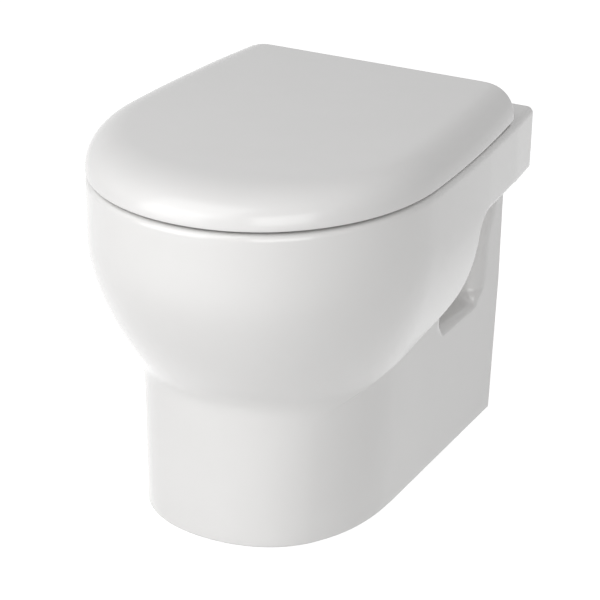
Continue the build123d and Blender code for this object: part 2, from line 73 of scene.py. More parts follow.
def closedSkin(name, rings, loop=False):
    # a tube of rings (rows, columns, xyz), closed by a point at each end or onto itself
    rows, columns = rings.shape[:2]
    points = rings.reshape(-1, 3)
    faces = gridFaces(rows, columns, loop)
    if not loop:
        count, last = rows * columns, (rows - 1) * columns
        points = np.concatenate([points, rings[0].mean(0)[None], rings[-1].mean(0)[None]])
        faces += [[count, (j + 1) % columns, j] for j in range(columns)]
        faces += [[count + 1, last + j, last + (j + 1) % columns] for j in range(columns)]
    return makeObject(name, points, faces)


def combine(target, tool, operation="DIFFERENCE"):
    # cuts the tool out of the target, or joins it on, and keeps the result as a plain mesh
    step = target.modifiers.new("step", "BOOLEAN")
    step.operation, step.solver, step.object = operation, "EXACT", tool
    shape = target.evaluated_get(bpy.context.evaluated_depsgraph_get())
    mesh = bpy.data.meshes.new_from_object(shape)
    target.modifiers.clear()
    target.data = mesh
    bpy.data.objects.remove(tool)
    mesh.shade_smooth()
    mesh.set_sharp_from_angle(angle=sharpEdge)


def rod(axis, radius, start, end, place, columns=64):
    # cylinder along an axis letter between two positions; place holds the other two coordinates
    turn = np.linspace(0, 2 * math.pi, columns, endpoint=False)
    radii = np.array([radius, radius])
    u = place[0] + np.outer(radii, np.cos(turn))
    v = place[1] + np.outer(radii, np.sin(turn))
    w = np.broadcast_to(np.array([start, end])[:, None], u.shape)
    order = {"x": (w, u, v), "y": (u, w, v), "z": (u, v, w)}[axis]
    return closedSkin("rod", np.stack(order, -1))


def block(low, high, radius, axis=2, columns=12):
    # box between two corners whose four edges along an axis are rounded
    across = [k for k in range(3) if k != axis]
    low, high = np.asarray(low, float), np.asarray(high, float)
    turn = np.linspace(0, math.pi / 2, columns)
    ring = []
    for k, (su, sv) in enumerate(((1, 1), (-1, 1), (-1, -1), (1, -1))):
        cu = (high[across[0]] - radius) if su > 0 else (low[across[0]] + radius)
        cv = (high[across[1]] - radius) if sv > 0 else (low[across[1]] + radius)
        angles = turn + k * math.pi / 2
        ring.append(np.stack([cu + radius * np.cos(angles), cv + radius * np.sin(angles)], -1))
    ring = np.concatenate(ring)
    rings = np.zeros((2, len(ring), 3))
    rings[:, :, across[0]], rings[:, :, across[1]] = ring[:, 0], ring[:, 1]
    rings[:, :, axis] = np.array([low[axis], high[axis]])[:, None]
    return closedSkin("block", rings)


def roundedPath(corners, cuts, straights, bends):
    # a path through corner points (rows, corners, 2): straight runs joined by quadratic curves
    # that start and end a cut away from each inner corner, or at a share of the shorter run
    # beside it; every row gets the same count of points
    corners = np.asarray(corners, float)
    steps = corners[:, 1:] - corners[:, :-1]
    lengths = np.maximum(np.linalg.norm(steps, axis=-1), 1e-6)
    ways = steps / lengths[..., None]
    last = corners.shape[1] - 1
    share = 0.46
    reach = [np.zeros(len(corners))]
    for k in range(1, last):
        reach.append(np.minimum(cuts[k - 1], share * np.minimum(lengths[:, k - 1], lengths[:, k])))
    reach.append(reach[0])
    parts = []
    for k in range(last):
        start = corners[:, k] + ways[:, k] * reach[k][:, None]
        end = corners[:, k + 1] - ways[:, k] * reach[k + 1][:, None]
        t = np.linspace(0, 1, straights[k], endpoint=False)[None, :, None]
        parts.append(start[:, None] * (1 - t) + end[:, None] * t)
        if k + 1 < last:
            after = corners[:, k + 1] + ways[:, k + 1] * reach[k + 1][:, None]
            t = np.linspace(0, 1, bends[k], endpoint=False)[None, :, None]
            mid = corners[:, k + 1][:, None]
            parts.append(end[:, None] * (1 - t) ** 2 + 2 * mid * t * (1 - t) + after[:, None] * t**2)
    return np.concatenate(parts, 1)


def bezier(points, t):
    # cubic curves from the first of four control points to the last, each (rows, 2), at the values t
    a, b, c, d = (np.asarray(p)[:, None] for p in points)
    t = t[None, :, None]
    return a * (1 - t) ** 3 + 3 * b * t * (1 - t) ** 2 + 3 * c * t**2 * (1 - t) + d * t**3


def column(value, rows):
    return np.broadcast_to(np.asarray(value, float), (rows,))


def deeCurve(half, wall, front, nose, fullness, back=0.0, flank=60, curve=160):
    # right half of D outlines, from the wall end of the flank to the middle of the nose: the flank
    # widens from wall to half by a parabola, and the nose is a cubic quarter
    rows = len(half)
    back = column(back, rows)
    shoulder = front - nose
    t = np.linspace(0, 1, flank, endpoint=False)[None]
    x = half[:, None] - (half - wall)[:, None] * (1 - t) ** 2
    y = -(back[:, None] + (shoulder - back)[:, None] * t)
    quarter = bezier(
        (
            np.stack([half, -shoulder], -1),
            np.stack([half, -shoulder - fullness * nose], -1),
            np.stack([fullness * half, -front], -1),
            np.stack([0 * half, -front], -1),
        ),
        np.linspace(0, 1, curve),
    )
    return np.concatenate([np.stack([x, y], -1), quarter], 1)


def fromPlace(curves, start, count):
    # each curve from the place where its y is start to its end, at count points of equal length
    out = np.zeros((len(curves), count, 2))
    for k, curve in enumerate(curves):
        s = np.concatenate([[0], np.cumsum(np.linalg.norm(np.diff(curve, axis=0), axis=1))])
        first = np.interp(-start[k], -curve[:, 1], s)
        at = np.linspace(first, s[-1], count)
        out[k] = np.stack([np.interp(at, s, curve[:, 0]), np.interp(at, s, curve[:, 1])], -1)
    out[:, -1, 0] = 0
    return out


def between(curves, start, end, count):
    # points of each curve from where its y is start to where it is end, spaced evenly in y
    t = np.linspace(0, 1, count)
    out = np.zeros((len(curves), count, 2))
    for k, curve in enumerate(curves):
        y = start[k] * (1 - t) + end[k] * t
        out[k] = np.stack([np.interp(-y, -curve[:, 1], curve[:, 0]), y], -1)
    return out


def widthAt(curves, y):
    # half width of each curve at its own y
    return np.array([np.interp(-v, -c[:, 1], c[:, 0]) for c, v in zip(curves, y)])


def mirrorRing(half):
    # full rings from right halves that run from the back centre to the front centre
    left = half[:, 1:-1][:, ::-1] * np.array([-1, 1, 1])
    return np.concatenate([half, left], 1)


def smoothStep(t):
    t = np.clip(t, 0, 1)
    return t * t * (3 - 2 * t)


def smoothTable(x, xs, ys):
    # curve through a table with the slopes of a monotone cubic, worked out at every x
    order = np.argsort(xs)
    xs, ys = np.asarray(xs, float)[order], np.asarray(ys, float)[order]
    gaps = np.diff(xs)
    slopes = np.diff(ys) / gaps
    tangents = np.zeros_like(ys)
    tangents[0], tangents[-1] = slopes[0], slopes[-1]
    product, total = slopes[1:] * slopes[:-1], slopes[1:] + slopes[:-1]
    same = product > 0
    tangents[1:-1] = np.where(same, 2 * product / np.where(same, total, 1), 0)
    x = np.clip(x, xs[0], xs[-1])
    k = np.clip(np.searchsorted(xs, x, side="right") - 1, 0, len(xs) - 2)
    t = (x - xs[k]) / gaps[k]
    return (
        (1 + 2 * t) * (1 - t) ** 2 * ys[k]
        + t * (1 - t) ** 2 * gaps[k] * tangents[k]
        + t * t * (3 - 2 * t) * ys[k + 1]
        - t * t * (1 - t) * gaps[k] * tangents[k + 1]
    )


# the ceramic pan

pan = {
    "rimHalfWidth": 180.0,
    "wallHalfWidth": 163.0,
    "projection": 494.0,
    "nose": 207.0,
    "fullness": 0.568,
    "rimHeight": 85.0,
    "deckBottom": 15.0,
    "baseHeight": -284.0,
    "rimEdge": 7.0,
    "openingEdge": 4.5,
    "pedestalHalfWidth": 134.0,
    "pedestalTaper": 4.0,
    "pedestalFront": 422.0,
    "pedestalNose": 162.0,
    "pedestalFullness": 0.63,
    "straightDepth": 65.0,
    "creaseDepth": 208.0,
    "bowlCurve": 1.6,
    "bowlEase": 9.0,
    "creaseSoftness": 2.4,
    "recessFront": 151.0,
    "recessBackLean": 6.0,
    "coreHalfWidth": 62.0,
    "recessFloorTop": -102.0,
    "recessFloorBottom": -134.0,
    "baseEdge": 3.0,
    "baseMiddle": 190.0,
}

# rear edge of the bowl beside the recess: height, distance from the wall
bowlRearEdge = np.array([
    (15.0, 148.0), (13.5, 153.5), (9.5, 158.0), (3.0, 160.0), (-20.0, 157.0), (-45.0, 153.5), (-60.0, 154.5),
    (-70.0, 158.5), (-77.0, 165.0), (-83.0, 175.0), (-88.0, 190.0), (-93.0, 212.0), (-100.0, 242.0),
    (-108.0, 272.0), (-116.0, 302.0), (-124.0, 333.0), (-132.0, 357.0), (-141.0, 374.0), (-150.0, 382.0),
    (-284.0, 384.0),
])

# front edge of the wall flange: height, distance from the wall
flangeEdge = np.array([
    (15.0, 20.0), (-5.0, 24.0), (-28.0, 33.0), (-45.0, 44.0), (-61.0, 52.0), (-80.0, 54.0), (-134.0, 60.0),
    (-284.0, 60.0),
])

# counts of points in the parts of a half outline, and rounds of easing
panColumns = {
    "back": 26,
    "runs": (8, 7, 18, 8),
    "bends": (9, 7, 7),
    "tail": 40,
    "step": 6,
    "front": 90,
    "easing": 9,
}

# y of the outline's five corners, the tail's end and the bowl's start on the deck's side, where they
# all lie on the bowl's own outline
panDeckPlaces = (0.0, -49.0, -56.0, -141.0, -144.0, -146.0, -148.0)

# how far each bend of the recess starts from its corner: flange, back wall, front wall
recessCuts = (20, 14, 6)


def bowlShare(z):
    # how far the outside has drawn in from the rim outline (0) to the pedestal outline (1) at heights z;
    # both ends of the curve are eased with the logarithm of a sum of exponentials
    ease = pan["bowlEase"]
    depth = ease * np.logaddexp(0, (pan["rimHeight"] - z - pan["straightDepth"]) / ease)
    drawn = (depth / (pan["creaseDepth"] - pan["straightDepth"])) ** pan["bowlCurve"]
    soft = pan["creaseSoftness"] / (pan["rimHalfWidth"] - pan["pedestalHalfWidth"])
    return drawn - soft * np.logaddexp(0, (drawn - 1) / soft)


def outsideCurves(z, inward, share):
    # D outlines of the pan's outside at heights z, drawn in by inward
    creaseHeight = pan["rimHeight"] - pan["creaseDepth"]
    taper = pan["pedestalTaper"] * np.clip((creaseHeight - z) / (creaseHeight - pan["baseHeight"]), 0, 1)
    half = pan["rimHalfWidth"] - share * (pan["rimHalfWidth"] - pan["pedestalHalfWidth"]) - taper - inward
    wall = pan["wallHalfWidth"] - share * (pan["wallHalfWidth"] - pan["pedestalHalfWidth"]) - taper - inward
    front = pan["projection"] - share * (pan["projection"] - pan["pedestalFront"]) - inward
    nose = pan["nose"] - share * (pan["nose"] - pan["pedestalNose"]) - inward
    fullness = pan["fullness"] + share * (pan["pedestalFullness"] - pan["fullness"])
    return deeCurve(half, wall, front, nose, fullness)


def panHalfRing(z, inward=0.0, recessed=0.0):
    # right half outlines of the pan at heights z, from the back centre to the front centre:
    # along the back, round the recess where it is recessed, then along the bowl's side and nose
    z = np.asarray(z, float)
    rows = len(z)
    inward, recessed = column(inward, rows), column(recessed, rows)[:, None, None]
    bowl = outsideCurves(z, inward, bowlShare(z))
    pedestal = outsideCurves(z, inward, np.ones(rows))
    rear = -smoothTable(np.minimum(z, pan["deckBottom"]), *bowlRearEdge.T)
    flange = -smoothTable(np.minimum(z, pan["deckBottom"]), *flangeEdge.T)
    pocket = 1 - smoothStep((pan["recessFloorTop"] - z) / (pan["recessFloorTop"] - pan["recessFloorBottom"]))
    # the recess ends at a front wall, or just behind the bowl's rear edge where that is nearer
    wallGap, lipGap, footGap = 3, 2, 5
    frontWall = np.maximum(1 - pan["recessFront"], rear + wallGap)
    lip = np.maximum(-1 - pan["recessFront"], rear + lipGap)
    foot = np.minimum(lip, rear + footGap)
    side = widthAt(pedestal, flange)
    deep = side - (pan["pedestalHalfWidth"] - pan["coreHalfWidth"]) * pocket
    low = np.stack([
        np.stack([side, 0 * z], -1),
        np.stack([side, flange], -1),
        np.stack([deep, flange - pan["recessBackLean"]], -1),
        np.stack([deep, frontWall], -1),
        np.stack([widthAt(pedestal, lip), lip], -1),
    ], 1)
    # the same corners on the deck's side, where nothing is recessed
    places = [column(y, rows) for y in panDeckPlaces]
    high = np.stack([np.stack([widthAt(bowl, y), y], -1) for y in places[:5]], 1)
    corners = high * (1 - recessed) + low * recessed
    around = roundedPath(corners, recessCuts, panColumns["runs"], panColumns["bends"])
    tailLow = between(pedestal, lip, foot, panColumns["tail"])
    tailHigh = between(bowl, places[4], places[5], panColumns["tail"])
    tail = tailHigh * (1 - recessed) + tailLow * recessed
    rear = places[6] * (1 - recessed[:, 0, 0]) + rear * recessed[:, 0, 0]
    forward = fromPlace(bowl, rear, panColumns["front"])
    t = np.linspace(0, 1, panColumns["step"], endpoint=False)[None, :, None]
    step = tail[:, -1:] * (1 - t) + forward[:, :1] * t
    back = np.linspace(0, 1, panColumns["back"], endpoint=False)[None, :, None] * corners[:, :1]
    outline = np.concatenate([back, around, tail[:, :-1], step, forward], 1)
    # the recess's front corner and the bowl's rear edge are eased by averaging each point with its
    # neighbours, a few times over
    before, after = 6, 4
    first = panColumns["back"] + around.shape[1] - before
    last = first + panColumns["tail"] + panColumns["step"] + after
    for _ in range(panColumns["easing"]):
        outline[:, first:last] = (
            outline[:, first - 1:last - 1] + 2 * outline[:, first:last] + outline[:, first + 1:last + 1]
        ) / 4
    heights = np.broadcast_to(z[:, None, None], outline.shape[:2] + (1,))
    return np.concatenate([outline, heights], -1)


def eggRing(z, half, front, back, nose, guide):
    # closed egg outline at one height whose points lie in the directions of a guide ring
    shoulder = front - nose
    heel = shoulder - back
    k = pan["fullness"]
    t = np.linspace(0, 1, 400)
    rearGuide = ([[0, -back]], [[k * half, -back]], [[half, -shoulder + k * heel]], [[half, -shoulder]])
    foreGuide = ([[half, -shoulder]], [[half, -shoulder - k * nose]], [[k * half, -front]], [[0, -front]])
    rear = bezier(rearGuide, t)[0]
    fore = bezier(foreGuide, t)[0]
    path = np.concatenate([rear, fore[1:]])
    angles = np.arctan2(path[:, 0], path[:, 1] + shoulder)
    wanted = np.arctan2(np.abs(guide[:, 0]), guide[:, 1] + basin["middle"])
    x, y = np.interp(wanted, angles, path[:, 0]), np.interp(wanted, angles, path[:, 1])
    return np.stack([x * np.sign(guide[:, 0]), y, np.full(len(x), z)], -1)


basin = {
    "middle": 284.0,
    # half width, front, back, nose
    "opening": (135.0, 449.0, 121.0, 165.0),
    "lipThickness": 9.0,
    "lipBottom": 43.0,
    "lipBottomEdge": 3.5,
    "channelWidth": 19.0,
    "channelCeiling": 74.0,
    "channelEdge": 3.0,
    # height, half width, front, back, nose
    "levels": np.array([
        (48, 159, 473, 114, 189), (12, 148, 458, 147, 172), (-40, 116, 420, 166, 140),
        (-90, 82, 374, 178, 101), (-135, 60, 340, 192, 73), (-180, 46, 319, 208, 55),
        (-212, 32, 300, 228, 36), (-226, 18, 284, 242, 21),
    ], float),
    # share of the last level and drop below it of each ring that closes the sump
    "floor": ((0.75, 1.8), (0.45, 2.8), (0.15, 3.2)),
}

# heights that end the outside's bands of rows up to the deck, and the rows in each band
panBands = ((-146, 26), (-60, 64), (0, 20))

# under the deck: how far each row has slid from the recess to the deck's side, and its height
# over the deck's bottom
deckSlide = np.array([0.0, 0.015, 0.05, 0.11, 0.25, 0.5, 0.75, 0.9, 0.96, 0.99, 1.0])
deckLift = np.array([-3.4, -2.2, -1.2, -0.5, -0.25, 0.0, 0.25, 0.4, 0.8, 1.8, 3.2])


def lipProfile():
    # distance outside the rim opening and height of each row from the rim down into the channel
    edge, top, under = pan["openingEdge"], pan["rimHeight"], basin["lipBottomEdge"]
    thick, bottom = basin["lipThickness"], basin["lipBottom"]
    profile = [
        (edge * (1 - math.sin(a)), top - edge * (1 - math.cos(a)))
        for a in np.linspace(0, math.pi / 2, 8)
    ]
    profile += [(0, z) for z in np.linspace(top - edge, bottom + under, 6)[1:]]
    profile += [
        (thick / 2 * (1 - math.cos(a)), bottom + under * (1 - math.sin(a)))
        for a in np.linspace(0, math.pi, 11)[1:]
    ]
    wide, ceiling, ledge = thick + basin["channelWidth"], basin["channelCeiling"], basin["levels"][0, 0]
    channelEdge = basin["channelEdge"]
    profile += [(thick, ledge + 5), (thick, ceiling - channelEdge)]
    profile += [(thick + channelEdge, ceiling), (wide - channelEdge, ceiling)]
    profile += [(wide, ceiling - channelEdge), (wide, ledge + 4), (wide - 1, ledge + 0.8)]
    return profile


def basinRings(guide):
    # the basin from the channel's ledge down to the sump's floor
    levels = basin["levels"]
    ledge, shelf, throat, floorZ = levels[0, 0], levels[1, 0], levels[4, 0], levels[-1, 0]
    zs = np.concatenate([
        np.linspace(ledge, shelf, 10, endpoint=False),
        np.linspace(shelf, throat, 30, endpoint=False),
        np.linspace(throat, floorZ, 22),
    ])
    sizes = np.stack([smoothTable(zs, levels[:, 0], levels[:, k]) for k in (1, 2, 3, 4)], -1)
    rings = [eggRing(z, *row, guide) for z, row in zip(zs, sizes)]
    half, front, back, nose = sizes[-1]
    middle = (front + back) / 2
    for share, drop in basin["floor"]:
        fore, aft = middle + (front - middle) * share, middle - (middle - back) * share
        rings.append(eggRing(zs[-1] - drop, half * share, fore, aft, nose * share, guide))
    return rings


def panSkin():
    # rows of rings: outside from the base up to the rim, over the rim, down the lip, round the
    # flush channel and down the basin; each row is one closed outline with the same columns
    edge = pan["baseEdge"]
    turn = np.linspace(0, math.pi / 2, 5)
    baseZ = pan["baseHeight"] + edge * (1 - np.sin(turn))
    baseIn = edge * (1 - np.cos(turn))
    bands, start = [], pan["baseHeight"] + edge
    for end, count in panBands:
        bands.append(np.linspace(start, end, count, endpoint=False))
        start = end
    belowDeck, aboveDeck = 4.5, 6
    bands.append(np.linspace(start, pan["deckBottom"] - belowDeck, 9))
    upZ = np.concatenate(bands)[1:]
    lowHalf = panHalfRing(np.concatenate([baseZ[::-1], upZ]), np.concatenate([baseIn[::-1], 0 * upZ]), 1.0)
    level, slide = pan["deckBottom"] + deckLift, deckSlide[:, None, None]
    under = panHalfRing(level, 0.0, 1.0) * (1 - slide) + panHalfRing(level) * slide
    sideHalf = panHalfRing(np.linspace(pan["deckBottom"] + aboveDeck, pan["rimHeight"] - pan["rimEdge"], 16))
    turn = np.linspace(0, math.pi / 2, 10)[1:]
    rimHalf = panHalfRing(np.full(len(turn), pan["rimHeight"]), pan["rimEdge"] * (1 - np.cos(turn)))
    rimHalf[:, :, 2] = (pan["rimHeight"] - pan["rimEdge"] * (1 - np.sin(turn)))[:, None]
    outside = mirrorRing(np.concatenate([lowHalf, under, sideHalf, rimHalf]))
    guide = outside[-1]
    half, front, back, nose = basin["opening"]
    ring = [eggRing(z, half + out, front + out, back - out, nose + out, guide) for out, z in lipProfile()]
    rimShares, baseShares = (0.08, 0.3, 0.6, 0.9), (0.2, 0.6, 0.97)
    flat = [guide * (1 - share) + ring[0] * share for share in rimShares]
    bowl = basinRings(guide)
    middle = np.array([0, -pan["baseMiddle"], pan["baseHeight"]])
    base = [middle * (1 - share) + outside[0] * share for share in baseShares]
    return closedSkin("panBody", np.concatenate([np.stack(base), outside, np.stack(flat + ring + bowl)]))


hollows = {
    "inletRadius": 27.5,
    "inletRise": 35.0,
    "inletDepth": 50.0,
    "chamber": ((-50, -124, 25), (50, -45, 74)),
    "chamberEdge": 8.0,
    "wasteDrop": 100.0,
    "windowRadius": 58.5,
    "windowDepth": 28.0,
    "spigotRadius": 51.0,
    "spigotEnd": 4.0,
    "boreRadius": 42.0,
    "boreDepth": 118.0,
    "trapRadius": 34.0,
    # y and z of the trapway's entry, crown and way out
    "trapPath": ((-272, -192), (-165, -96), (-108, -96)),
    "trapBend": 34.0,
    "trapWall": 9.0,
    "studSide": 90.0,
    "flangeHoleRadius": 9.0,
    "flangeHoleDepth": 70.0,
    "hingeSide": 77.5,
    "hingeBoltReach": 75.0,
    "hingeHoleRadius": 7.0,
    "hingeHoleSpan": (5.0, 90.0),
    "nutPocket": ((70, -64, -118), (116, -28, 14.2)),
    "nutPocketEdge": 9.0,
    "wall": 10.0,
    "hollowTop": -148.0,
}


def trapTube(radius):
    # the trapway: rings of a radius across a path with a round bend over the crown
    corners = np.array(hollows["trapPath"], float)
    path = roundedPath(corners[None], (hollows["trapBend"],), (10, 8), (22,))[0]
    path = np.concatenate([path, corners[-1:]])
    way = np.gradient(path, axis=0)
    way /= np.linalg.norm(way, axis=1)[:, None]
    turn = np.linspace(0, 2 * math.pi, 56, endpoint=False)
    x = radius * np.cos(turn)[None] + 0 * path[:, :1]
    y = path[:, :1] - way[:, 1:] * radius * np.sin(turn)[None]
    z = path[:, 1:] + way[:, :1] * radius * np.sin(turn)[None]
    return closedSkin("trap", np.stack([x, y, z], -1))


def backHollow():
    # the hollow of the pedestal, open to the wall, round the outside of the sump and the trapway
    rows, past = 12, 8.0
    zs = np.linspace(pan["baseHeight"] + hollows["wall"], hollows["hollowTop"], rows)
    curves = outsideCurves(zs, column(hollows["wall"], rows), np.ones(rows))
    front = fromPlace(curves, np.full(rows, -past), 70)
    across = np.linspace(0, 1, rows, endpoint=False)[None] * front[:, :1, 0]
    back = np.stack([across, np.full(across.shape, past)], -1)
    corner = np.stack([front[:, 0, 0], np.full(rows, past)], -1)[:, None]
    half = np.concatenate([back, corner, front], 1)
    half = np.concatenate([half, np.broadcast_to(zs[:, None, None], half.shape[:2] + (1,))], -1)
    hollow = closedSkin("hollow", mirrorRing(half))
    guide = mirrorRing(half)[0]
    wall = hollows["trapWall"]
    levels = basin["levels"][3:] + np.array([0, wall, wall, -wall, wall])
    levels[-1, 0] -= wall
    sump = [eggRing(*level, guide) for level in levels]
    combine(hollow, closedSkin("sump", np.stack(sump)))
    combine(hollow, trapTube(hollows["trapRadius"] + wall))
    return hollow


panBody = panSkin()
print("pan skin", len(panBody.data.polygons))
h = hollows
past, waste = 5, (0, -h["wasteDrop"])
for side in (1, -1):
    low, high = h["nutPocket"]
    xs = sorted((side * low[0], side * high[0]))
    combine(panBody, block((xs[0], low[1], low[2]), (xs[1], high[1], high[2]), h["nutPocketEdge"], 1))
    stud, bolt = (side * h["studSide"], 0), (side * h["hingeSide"], -h["hingeBoltReach"])
    combine(panBody, rod("y", h["flangeHoleRadius"], -h["flangeHoleDepth"], past, stud))
    combine(panBody, rod("z", h["hingeHoleRadius"], *h["hingeHoleSpan"], bolt))
combine(panBody, backHollow())
combine(panBody, block(*h["chamber"], h["chamberEdge"]))
combine(panBody, rod("y", h["inletRadius"], -h["inletDepth"], past, (0, h["inletRise"])))
window = rod("y", h["windowRadius"], -h["windowDepth"], past, waste, 96)
spigot = rod("y", h["spigotRadius"], -h["windowDepth"] - past, -h["spigotEnd"], waste, 96)
combine(window, spigot)
combine(panBody, window)
combine(panBody, rod("y", h["boreRadius"], -h["boreDepth"], past, waste))
combine(panBody, trapTube(h["trapRadius"]))
print("pan with its hollows", len(panBody.data.polygons))

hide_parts("ceramic_pan")
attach(panBody, "pan")


# the lid and the seat

lid = {
    "rear": 57.0,
    "bottom": 88.0,
    "top": 125.0,
    "wall": 5.0,
    "sideRoll": 34.0,
    "frontRoll": 64.0,
    "rollCurve": 2.25,
    "backTaper": 15.0,
    "crown": 0.9,
    "cornerRadius": 5.0,
    "cornerRun": 14.0,
    "lowerEdge": 1.5,
    "rows": 26,
    "middle": 250.0,
    "rowCrowding": 1.15,
}

hinge = {
    "reach": 57.0,
    "height": 110.0,
    "barrelRadius": 9.0,
    "seatLug": (43.5, 65.5),
    "lidLug": (89.5, 111.5),
    "lidWeb": 7.0,
    "notch": (41.0, 91.5),
    "insertRadius": 6.05,
    "flangeRadius": 7.6,
}


def coverRing(z, side, front, rear):
    # one right half of a D outline per row, with its back corners rounded in plan:
    # along the back, round the corner, then along the flank and the nose
    rows = len(z)
    half = pan["rimHalfWidth"] - side
    curves = deeCurve(
        half, half - lid["backTaper"], pan["projection"] - front, pan["nose"] - front,
        np.full(rows, pan["fullness"]), rear,
    )
    after = rear + lid["cornerRun"]
    corners = np.stack([
        np.stack([0 * z, -rear], -1),
        np.stack([widthAt(curves, -rear), -rear], -1),
        np.stack([widthAt(curves, -after), -after], -1),
    ], 1)
    path = roundedPath(corners, (lid["cornerRadius"],), (16, 4), (9,))
    ring = np.concatenate([path, fromPlace(curves, -after, 110)], 1)
    heights = np.broadcast_to(z[:, None, None], ring.shape[:2] + (1,))
    return mirrorRing(np.concatenate([ring, heights], -1))


def rollRows(bottom, top, count):
    # rise and draw-in of a superelliptic quarter: sin and cos of an angle to the power 2 / rollCurve
    angle = np.linspace(0, 1, count) ** lid["rowCrowding"] * math.pi / 2
    power = 2 / lid["rollCurve"]
    rise = np.sin(angle) ** power
    drawn = 1 - np.cos(angle) ** power
    return bottom + (top - bottom) * rise, drawn


def lidSkin():
    # outside from the middle of the top to the lower edge, round it, then inside back to the middle
    z, drawn = rollRows(lid["bottom"] + lid["lowerEdge"], lid["top"] - lid["crown"], lid["rows"])
    rear = np.full(len(z), lid["rear"])
    outer = coverRing(z, lid["sideRoll"] * drawn, lid["frontRoll"] * drawn, rear)
    # the top rises from the roll to its middle by the crown
    top = []
    last = outer[-1]
    middle = np.array([0, -lid["middle"], lid["top"]])
    for share in (0.985, 0.95, 0.85, 0.65, 0.4, 0.15):
        ring = middle * (1 - share) + last * share
        ring[:, 2] = lid["top"] - lid["crown"] * share**2
        top.append(ring)
    wall = lid["wall"]
    iz, drawn = rollRows(lid["bottom"] + lid["lowerEdge"], lid["top"] - wall, lid["rows"])
    inner = coverRing(
        iz, wall + (lid["sideRoll"] - wall) * drawn, wall + (lid["frontRoll"] - wall) * drawn,
        np.full(len(iz), lid["rear"] + wall),
    )
    edge = []
    for angle in np.linspace(0, math.pi, 9)[1:-1]:
        share = (1 - math.cos(angle)) / 2
        ring = outer[0] * (1 - share) + inner[0] * share
        ring[:, 2] = lid["bottom"] + lid["lowerEdge"] * (1 - math.sin(angle))
        edge.append(ring)
    under = []
    for share in (0.85, 0.5, 0.15):
        ring = np.array([0, -lid["middle"], 0]) * (1 - share) + inner[-1] * share
        ring[:, 2] = lid["top"] - wall
        under.append(ring)
    rings = np.concatenate([np.stack(top[::-1]), outer[::-1], np.stack(edge), inner, np.stack(under)])
    return closedSkin("seatLid", rings)


seatLid = lidSkin()
print("lid skin", len(seatLid.data.polygons))


def hingeRod(radius, span, side):
    # a rod on the hinge's axis between two distances from the middle
    return rod("x", radius, side * span[0], side * span[1], (-hinge["reach"], hinge["height"]), 48)


def straightBlock(low, high):
    # plain box between two corners
    low, high = np.minimum(low, high), np.maximum(low, high)
    corner = np.array([(x, y, z) for z in (0, 1) for x, y in ((0, 0), (1, 0), (1, 1), (0, 1))])
    points = low + corner * (high - low)
    faces = [[0, 3, 2, 1], [4, 5, 6, 7], [0, 1, 5, 4], [1, 2, 6, 5], [2, 3, 7, 6], [3, 0, 4, 7]]
    return makeObject("block", points, faces)


ceiling, past = lid["top"] - lid["wall"], 5
start, end = hinge["lidLug"]
for side in (1, -1):
    near, far = (side * v for v in hinge["notch"])
    low = (near, -lid["rear"] - lid["wall"] - 1, lid["bottom"] - past)
    combine(seatLid, straightBlock(low, (far, past, ceiling)))
    combine(seatLid, hingeRod(hinge["barrelRadius"], hinge["lidLug"], side), "UNION")
    low = (side * start, -hinge["reach"] - hinge["lidWeb"], hinge["height"])
    high = (side * end, -hinge["reach"], ceiling + 1)
    combine(seatLid, straightBlock(low, high), "UNION")
    combine(seatLid, hingeRod(hinge["insertRadius"], (start - past, end + past), side))
    combine(seatLid, hingeRod(hinge["flangeRadius"], (end, end + past), side))
print("lid with its hinge", len(seatLid.data.polygons))

seat = {
    "bottom": 89.0,
    "top": 109.0,
    "rear": 95.0,
    "sideInset": 14.0,
    "sideDraft": 4.0,
    "frontDraft": 9.0,
    # half width, front, back, nose
    "opening": (108.0, 424.0, 158.0, 150.0),
    "topEdge": 7.0,
    "bottomEdge": 1.5,
    "dish": 1.2,
    "webReach": 12.0,
    "webHeel": (4.5, 7.65),
}


def seatSkin():
    # a closed band: each row is one outline round the seat, and the rows go round its section
    # outside, over the top with a shallow dish, down the opening and back along the underside
    low, high = seat["bottom"], seat["top"]
    rows, r, e = [], seat["topEdge"], seat["bottomEdge"]

    def outer(z, pull):
        share = (z - low) / (high - low)
        side = seat["sideInset"] + seat["sideDraft"] * share + pull
        front = seat["sideInset"] + seat["frontDraft"] * share + pull
        values = (np.array([v]) for v in (z, side, front, seat["rear"] + pull))
        return coverRing(*values)[0]

    for a in np.linspace(0, math.pi / 2, 4):
        rows.append(outer(low + e * (1 - math.sin(a)), e * (1 - math.cos(a))))
    rows = rows[::-1]
    for z in np.linspace(low + e, high - r, 5)[1:]:
        rows.append(outer(z, 0))
    for a in np.linspace(0, math.pi / 2, 9)[1:]:
        rows.append(outer(high - r * (1 - math.sin(a)), r * (1 - math.cos(a))))
    guide = rows[-1]
    half, front, back, nose = seat["opening"]

    def inner(z, out):
        return eggRing(z, half + out, front + out, back - out, nose + out, guide)

    rim = inner(high, r)
    for t in (0.1, 0.25, 0.4, 0.55, 0.7, 0.85):
        ring = guide * (1 - t) + rim * t
        ring[:, 2] = high - seat["dish"] * math.sin(math.pi * t) ** 2
        rows.append(ring)
    for a in np.linspace(0, math.pi / 2, 9):
        rows.append(inner(high - r * (1 - math.cos(a)), r * (1 - math.sin(a))))
    for z in np.linspace(high - r, low + e, 5)[1:]:
        rows.append(inner(z, 0))
    for a in np.linspace(0, math.pi / 2, 4)[1:]:
        rows.append(inner(low + e * (1 - math.sin(a)), e * (1 - math.cos(a))))
    last, first = rows[-1], rows[0]
    for t in (0.25, 0.5, 0.75):
        rows.append(last * (1 - t) + first * t)
    return closedSkin("seatRing", np.stack(rows), loop=True)


